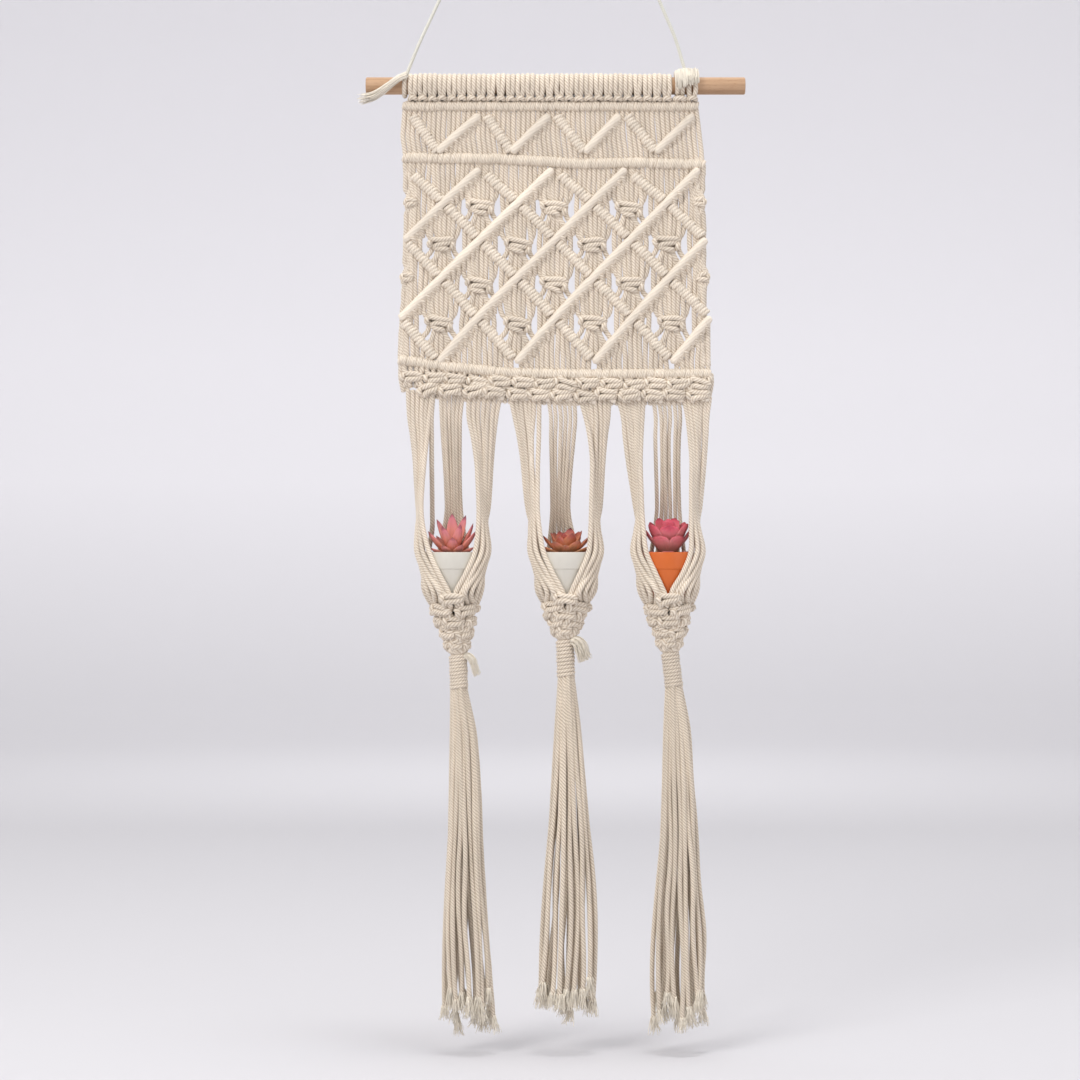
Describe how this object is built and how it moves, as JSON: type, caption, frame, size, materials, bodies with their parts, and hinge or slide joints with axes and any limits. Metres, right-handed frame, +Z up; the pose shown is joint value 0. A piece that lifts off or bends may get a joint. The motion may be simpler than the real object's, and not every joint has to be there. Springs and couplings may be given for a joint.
{
  "type": "hanging macrame planter",
  "caption": "Knotted cotton wall hanging on a wooden dowel, with net planters below it that each hold a small potted succulent over a long tassel.",
  "frame": {"origin": "underside of the hanging cord's bend, where it bears on its hook", "axes": "+Z up, +X to the right along the dowel, -Y out of the front"},
  "size_m": [0.3869, 0.0633, 1.2746],
  "materials": {
    "cotton_cord": "twisted cotton cord, natural undyed",
    "hanging_cord": "thin twisted cotton cord",
    "dowel_wood": "sanded, unvarnished beech",
    "white_pot": "smooth, satin",
    "orange_pot": "smooth, satin",
    "soil": "rough dark foam",
    "coral_leaf": "soft moulded leaf, satin",
    "bronze_leaf": "soft moulded leaf, satin",
    "pink_leaf": "soft moulded leaf, satin"
  },
  "bodies": {
    "hanger": {"dowel": "dowel_wood", "hanging_cord": "hanging_cord", "left_hitch": "cotton_cord", "left_tail": "cotton_cord", "right_hitch": "cotton_cord", "right_tuft": "cotton_cord"},
    "panel": {"larks_head_row": "cotton_cord", "larks_head_end": "cotton_cord", "top_hitch_bar": "cotton_cord", "zigzag_strands": "cotton_cord", "zigzag_bar": "cotton_cord", "middle_hitch_bar": "cotton_cord", "diamond_net": "cotton_cord", "diagonal_bar_1": "cotton_cord", "diagonal_bar_2": "cotton_cord", "diagonal_bar_3": "cotton_cord", "diagonal_bar_4": "cotton_cord", "diagonal_bar_5": "cotton_cord", "diagonal_bar_6": "cotton_cord", "bottom_hitch_bar": "cotton_cord", "square_knot_row": "cotton_cord", "square_knot_group_1": "cotton_cord", "square_knot_group_2": "cotton_cord", "square_knot_group_3": "cotton_cord"},
    "planter_1": {"left_cords_1": "cotton_cord", "right_cords_1": "cotton_cord", "back_cords_1": "cotton_cord", "net_cup_1": "cotton_cord", "gathered_cords_1": "cotton_cord", "gathering_wrap_1": "cotton_cord", "wrap_tail_1": "cotton_cord"},
    "potted_plant_1": {"pot_1": "white_pot", "soil_1": "soil", "succulent_1": "coral_leaf"},
    "tassel_1": {"tassel_1": "cotton_cord"},
    "planter_2": {"left_cords_2": "cotton_cord", "right_cords_2": "cotton_cord", "back_cords_2": "cotton_cord", "net_cup_2": "cotton_cord", "gathered_cords_2": "cotton_cord", "gathering_wrap_2": "cotton_cord", "wrap_tail_2": "cotton_cord"},
    "potted_plant_2": {"pot_2": "white_pot", "soil_2": "soil", "succulent_2": "bronze_leaf"},
    "tassel_2": {"tassel_2": "cotton_cord"},
    "planter_3": {"left_cords_3": "cotton_cord", "right_cords_3": "cotton_cord", "back_cords_3": "cotton_cord", "net_cup_3": "cotton_cord", "gathered_cords_3": "cotton_cord", "gathering_wrap_3": "cotton_cord"},
    "potted_plant_3": {"pot_3": "orange_pot", "soil_3": "soil", "succulent_3": "pink_leaf"},
    "tassel_3": {"tassel_3": "cotton_cord"}
  },
  "joints": [
    {"name": "panel_swing", "type": "hinge", "parent": "hanger", "child": "panel", "pos_m": [0, 0, -0.324], "axis": [1, 0, 0], "range_deg": [-20, 20]},
    {"name": "planter_swing_1", "type": "hinge", "parent": "panel", "child": "planter_1", "pos_m": [-0.102, 0, -0.6415], "axis": [1, 0, 0], "range_deg": [-20, 20]},
    {"name": "pot_lift_1", "type": "slide", "parent": "planter_1", "child": "potted_plant_1", "axis": [0, -0.1736, 0.9848], "range_m": [0, 0.04]},
    {"name": "tassel_swing_1", "type": "hinge", "parent": "planter_1", "child": "tassel_1", "pos_m": [-0.096, 0, -0.9295], "axis": [1, 0, 0], "range_deg": [-25, 25]},
    {"name": "planter_swing_2", "type": "hinge", "parent": "panel", "child": "planter_2", "pos_m": [0.011, 0, -0.6415], "axis": [1, 0, 0], "range_deg": [-20, 20]},
    {"name": "pot_lift_2", "type": "slide", "parent": "planter_2", "child": "potted_plant_2", "axis": [0, -0.1736, 0.9848], "range_m": [0, 0.04]},
    {"name": "tassel_swing_2", "type": "hinge", "parent": "planter_2", "child": "tassel_2", "pos_m": [0.011, 0, -0.9175], "axis": [1, 0, 0], "range_deg": [-25, 25]},
    {"name": "planter_swing_3", "type": "hinge", "parent": "panel", "child": "planter_3", "pos_m": [0.113, 0, -0.6415], "axis": [1, 0, 0], "range_deg": [-20, 20]},
    {"name": "pot_lift_3", "type": "slide", "parent": "planter_3", "child": "potted_plant_3", "axis": [0, -0.1736, 0.9848], "range_m": [0, 0.04]},
    {"name": "tassel_swing_3", "type": "hinge", "parent": "planter_3", "child": "tassel_3", "pos_m": [0.119, 0, -0.9275], "axis": [1, 0, 0], "range_deg": [-25, 25]}
  ]
}
